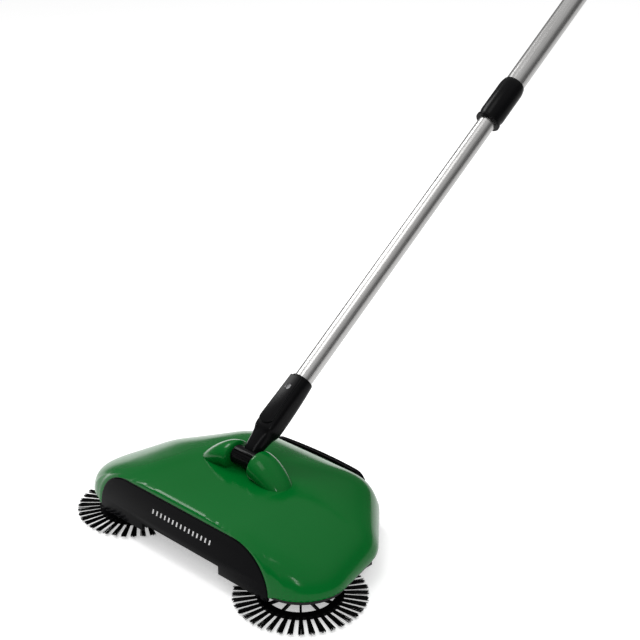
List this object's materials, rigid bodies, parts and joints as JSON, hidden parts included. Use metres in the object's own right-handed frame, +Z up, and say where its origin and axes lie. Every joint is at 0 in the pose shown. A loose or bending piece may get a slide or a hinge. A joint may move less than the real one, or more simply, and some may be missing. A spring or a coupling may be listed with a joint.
{
  "type": "carpet sweeper",
  "caption": "Push carpet sweeper with disc brushes at its front corners, a geared roller brush, a slide-out dust bin and a tilting telescopic handle.",
  "frame": {"origin": "on the floor, on the body's centre line, midway between the front lobes and the dust bin", "axes": "+Z up; the front panel faces -Y and the handle leans back towards +Y; +X is to the right seen from the front"},
  "size_m": [0.338, 0.7399, 0.5489],
  "materials": {
    "shell_green": "high gloss",
    "panel_black": "gloss",
    "base_black": "matt",
    "fittings_black": "satin",
    "handle_black": "satin gloss",
    "gear_white": "satin",
    "bristle_black": "semi-matt",
    "steel": "bright",
    "tube_aluminium": "brushed",
    "rubber_black": "matt",
    "bush_bronze": "satin",
    "grip_black": "matt"
  },
  "bodies": {
    "chassis": {"base": "base_black", "top_shell": "shell_green", "front_panel": "panel_black", "pivot_bracket": "fittings_black", "pivot_pin": "steel", "roller_hood": "base_black", "scoop_lip": "rubber_black", "case_screws": "steel", "bracket_screws": "steel", "axle_bush_left": "bush_bronze", "axle_bush_right": "bush_bronze", "brush_stud_left": "steel", "brush_stud_right": "steel", "rear_wheel_pins": "steel"},
    "axle": {"drive_axle": "steel", "roller_core": "fittings_black", "roller_bristles": "bristle_black", "drive_wheel_left": "fittings_black", "drive_wheel_right": "fittings_black", "tyre_left": "rubber_black", "tyre_right": "rubber_black", "axle_clips": "steel"},
    "disc_left": {"brush_disc_left": "fittings_black", "disc_bristles_left": "bristle_black"},
    "disc_right": {"brush_disc_right": "fittings_black", "disc_bristles_right": "bristle_black"},
    "shaft_left": {"side_shaft_left": "steel", "rear_pinion_left": "gear_white", "front_pinion_left": "gear_white"},
    "shaft_right": {"side_shaft_right": "steel", "rear_pinion_right": "gear_white", "front_pinion_right": "gear_white"},
    "castor_left": {"rear_wheel_left": "fittings_black"},
    "castor_right": {"rear_wheel_right": "fittings_black"},
    "bin": {"dust_bin": "base_black", "bin_panel": "panel_black"},
    "handle": {"handle_socket": "handle_black", "socket_screw": "steel", "lower_tube": "tube_aluminium", "tube_plug": "gear_white"},
    "upper": {"upper_tube": "tube_aluminium", "tube_end_plug": "fittings_black", "hand_grip": "grip_black", "hang_loop": "grip_black"},
    "collar": {"twist_collar": "handle_black"}
  },
  "joints": [
    {"name": "axle_spin", "type": "hinge", "parent": "chassis", "child": "axle", "pos_m": [0, 0.02, 0.022], "axis": [1, 0, 0], "continuous": true},
    {"name": "shaft_left_spin", "type": "hinge", "parent": "chassis", "child": "shaft_left", "pos_m": [-0.109, 0, 0.022], "axis": [0, 1, 0], "continuous": true},
    {"name": "shaft_right_spin", "type": "hinge", "parent": "chassis", "child": "shaft_right", "pos_m": [0.109, 0, 0.022], "axis": [0, 1, 0], "continuous": true},
    {"name": "disc_left_spin", "type": "hinge", "parent": "chassis", "child": "disc_left", "pos_m": [-0.109, -0.06, 0.008], "axis": [0, 0, 1], "continuous": true},
    {"name": "disc_right_spin", "type": "hinge", "parent": "chassis", "child": "disc_right", "pos_m": [0.109, -0.06, 0.008], "axis": [0, 0, 1], "continuous": true},
    {"name": "rear_wheel_left_spin", "type": "hinge", "parent": "chassis", "child": "castor_left", "pos_m": [-0.079, 0.066, 0.008], "axis": [1, 0, 0], "continuous": true},
    {"name": "rear_wheel_right_spin", "type": "hinge", "parent": "chassis", "child": "castor_right", "pos_m": [0.079, 0.066, 0.008], "axis": [1, 0, 0], "continuous": true},
    {"name": "bin_slide", "type": "slide", "parent": "chassis", "child": "bin", "axis": [0, 1, 0], "range_m": [0, 0.05]},
    {"name": "handle_tilt", "type": "hinge", "parent": "chassis", "child": "handle", "pos_m": [0, -0.0185, 0.0775], "axis": [1, 0, 0], "range_deg": [-24, 53.7]},
    {"name": "tube_slide", "type": "slide", "parent": "handle", "child": "upper", "axis": [0, 0.8059, 0.592], "range_m": [-0.165, 0.08]},
    {"name": "collar_twist", "type": "hinge", "parent": "upper", "child": "collar", "pos_m": [0, 0.34417, 0.34391], "axis": [0, 0.8059, 0.592], "range_deg": [0, 90]}
  ],
  "couplings": [
    {"joint": "shaft_right_spin", "follows": "axle_spin", "ratio": -2.2857},
    {"joint": "shaft_left_spin", "follows": "axle_spin", "ratio": 2.2857},
    {"joint": "disc_right_spin", "follows": "axle_spin", "ratio": -1.1429},
    {"joint": "disc_left_spin", "follows": "axle_spin", "ratio": 1.1429}
  ]
}
